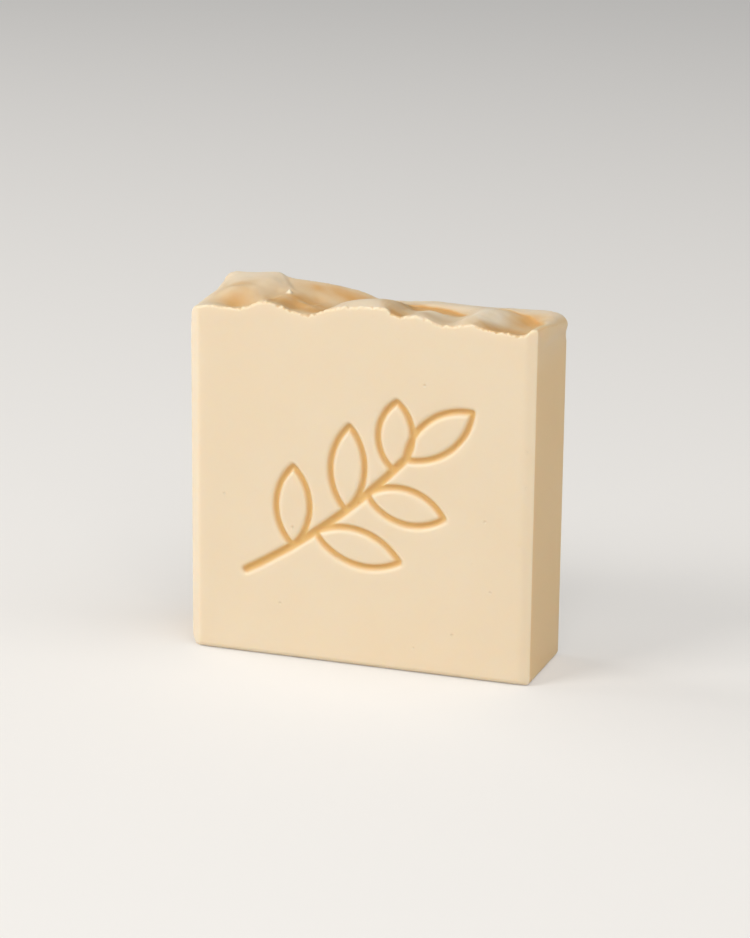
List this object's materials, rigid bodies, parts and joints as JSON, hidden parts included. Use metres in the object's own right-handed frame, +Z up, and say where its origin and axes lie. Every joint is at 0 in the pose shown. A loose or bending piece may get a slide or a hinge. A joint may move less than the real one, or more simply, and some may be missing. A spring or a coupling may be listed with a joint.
{
  "type": "bar of soap",
  "caption": "Hand-cut bar of soap that stands on its narrow base, with bevelled edges, a pressed leaf sprig on its face and a spooned, wavy top.",
  "frame": {"origin": "centre of the base that the bar stands on", "axes": "+Z up, +X to the right of the stamped front face, +Y from the front face to the back face"},
  "size_m": [0.075, 0.0234, 0.0769],
  "materials": {
    "soap": "waxy cream soap with a soft satin sheen"
  },
  "bodies": {
    "root": {"soap_bar": "soap"}
  },
  "joints": []
}
